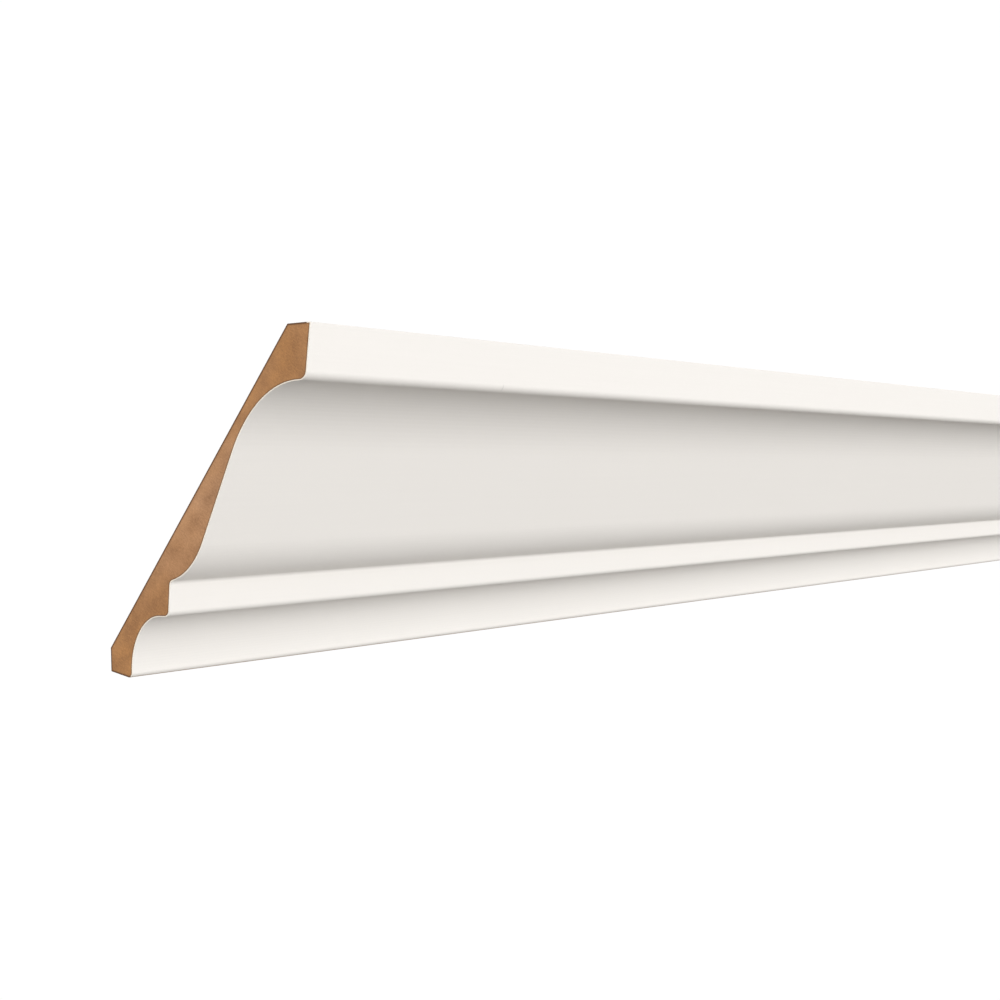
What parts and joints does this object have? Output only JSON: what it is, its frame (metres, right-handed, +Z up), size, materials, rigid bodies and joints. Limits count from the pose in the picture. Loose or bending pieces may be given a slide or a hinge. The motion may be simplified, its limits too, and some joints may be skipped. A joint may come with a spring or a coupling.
{
  "type": "crown moulding",
  "caption": "Straight length of crown moulding with a lip, a wide hollow, a narrow band and a small foot hollow, primed white on the room face, raw fibreboard at the ends and back.",
  "frame": {"origin": "middle of the strip that bears on the wall, half-way along the length", "axes": "+X along the moulding, +Y towards the wall, +Z up to the ceiling; the room is on the -Y side"},
  "size_m": [1, 0.0839, 0.1053],
  "materials": {
    "primed_fibreboard": "smooth satin white primer on the room face, raw brown fibreboard on the cut ends, the bearing edges and the back"
  },
  "bodies": {
    "root": {"crown_moulding": "primed_fibreboard"}
  },
  "joints": []
}
